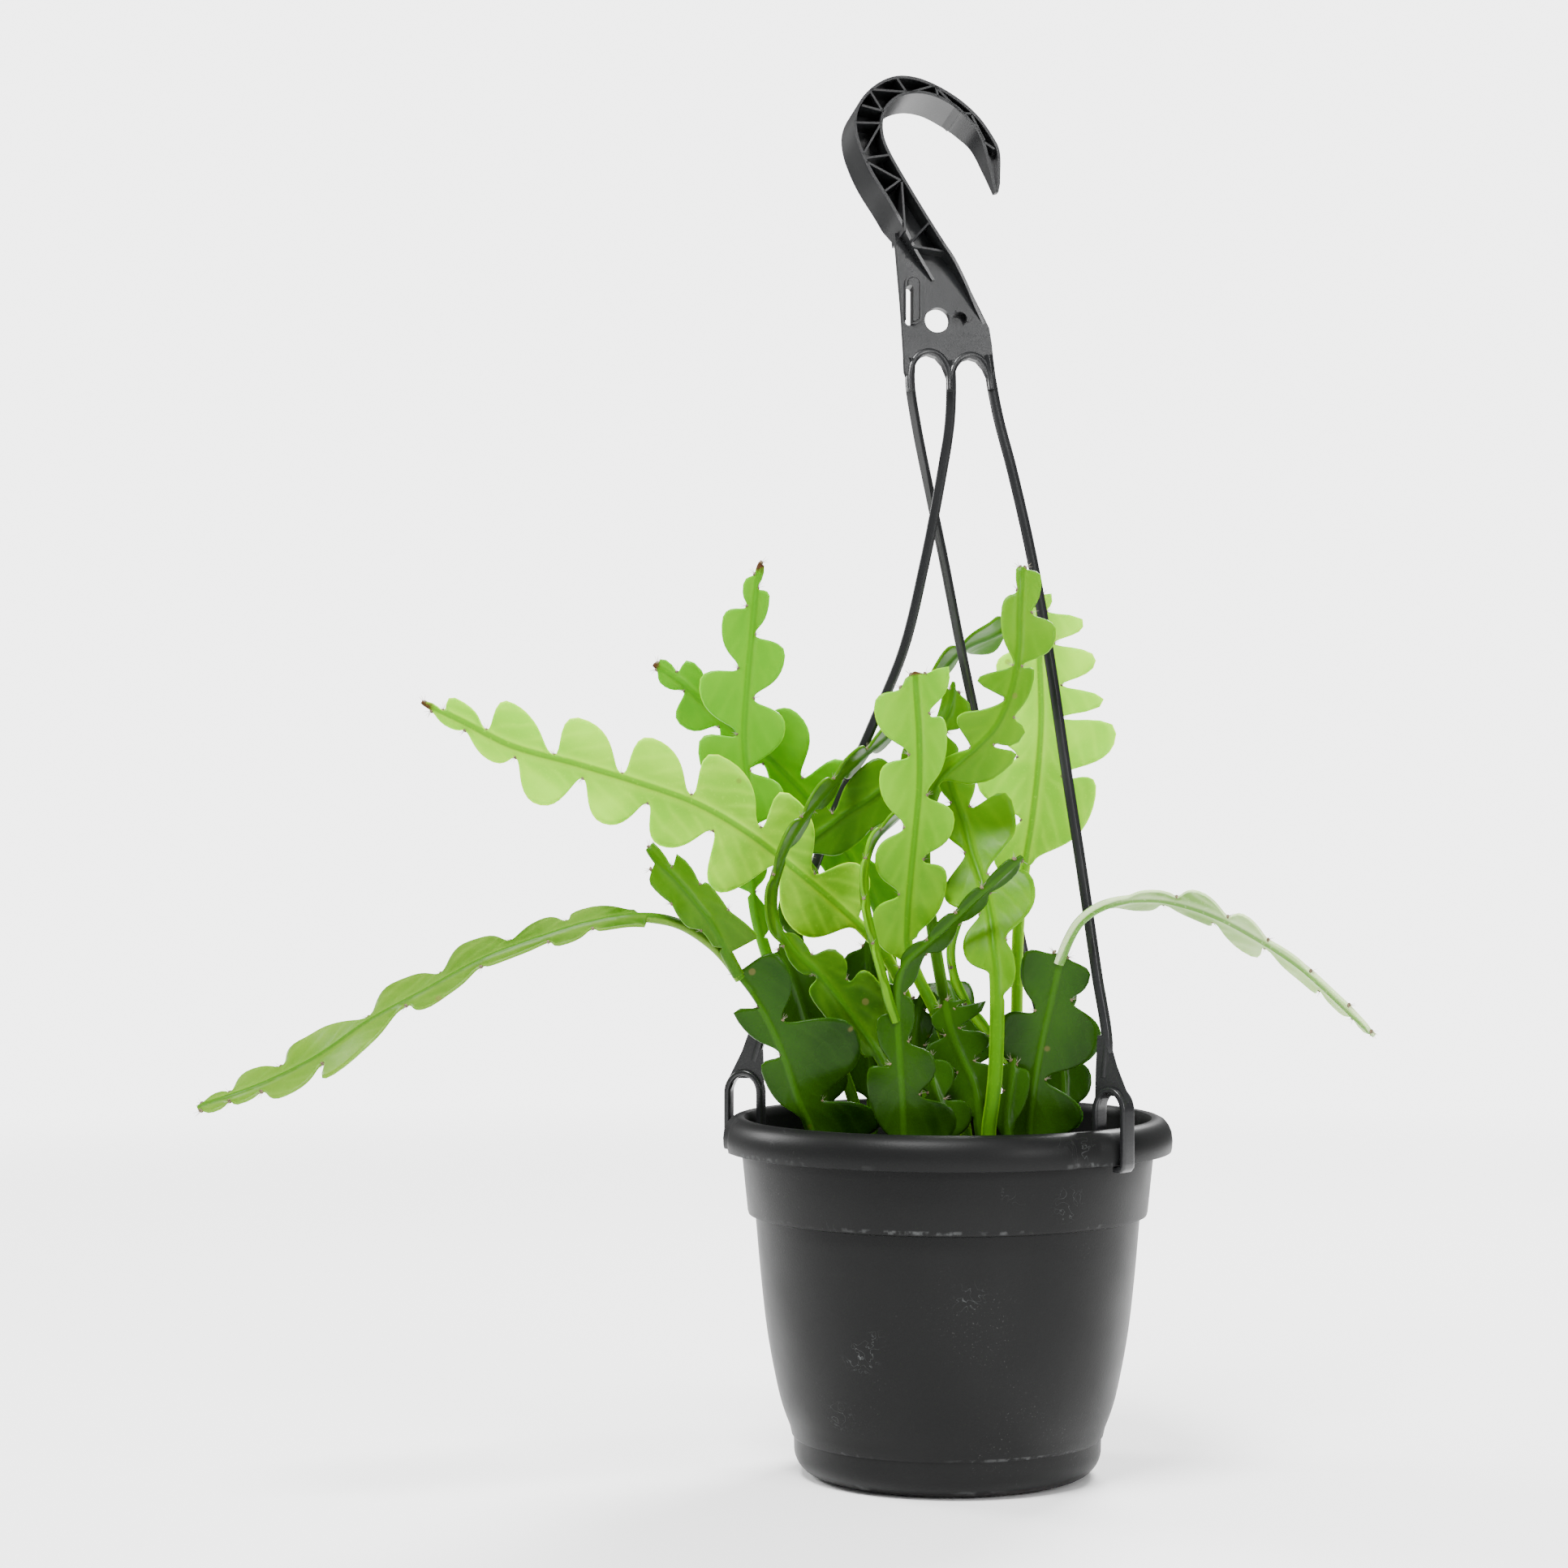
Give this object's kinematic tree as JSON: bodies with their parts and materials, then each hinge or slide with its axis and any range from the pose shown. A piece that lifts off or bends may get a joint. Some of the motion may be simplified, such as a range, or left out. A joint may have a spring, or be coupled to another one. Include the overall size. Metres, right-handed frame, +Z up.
{
  "type": "fishbone cactus in a hanging pot",
  "caption": "Zig-zag lobed fishbone cactus stems, some trailing, growing in a black plastic hanging pot with a moulded hook hanger.",
  "frame": {"origin": "middle of the pot's underside", "axes": "+Z up along the pot's axis, -Y to the front as pictured"},
  "size_m": [0.4478, 0.2038, 0.5637],
  "materials": {
    "black_plastic": "satin moulded plastic",
    "hanger_plastic": "smooth moulded plastic",
    "potting_mix": "crumbly peat and bark",
    "young_stem": "waxy yellow-green skin",
    "old_stem": "waxy dark green skin"
  },
  "bodies": {
    "root": {"pot": "black_plastic", "potting_mix": "potting_mix", "hanger": "hanger_plastic", "stem_long_left": "young_stem", "stem_upright_left": "young_stem", "stem_small_left": "young_stem", "stem_arching": "old_stem", "stem_centre_light": "young_stem", "stem_crossing": "old_stem", "stem_front_right": "young_stem", "stem_broad_right": "young_stem", "stem_front_light": "young_stem", "stem_centre_dark": "old_stem", "stem_left_front": "old_stem", "stem_right_dark": "old_stem", "stem_horned": "old_stem", "stem_low_centre": "old_stem", "stem_low_right": "old_stem", "stem_behind_centre": "old_stem", "stem_pale_narrow": "young_stem", "stem_shaded_left": "old_stem", "stem_shaded_back": "old_stem", "stem_back_low": "old_stem", "stem_back_right": "old_stem"}
  },
  "joints": []
}
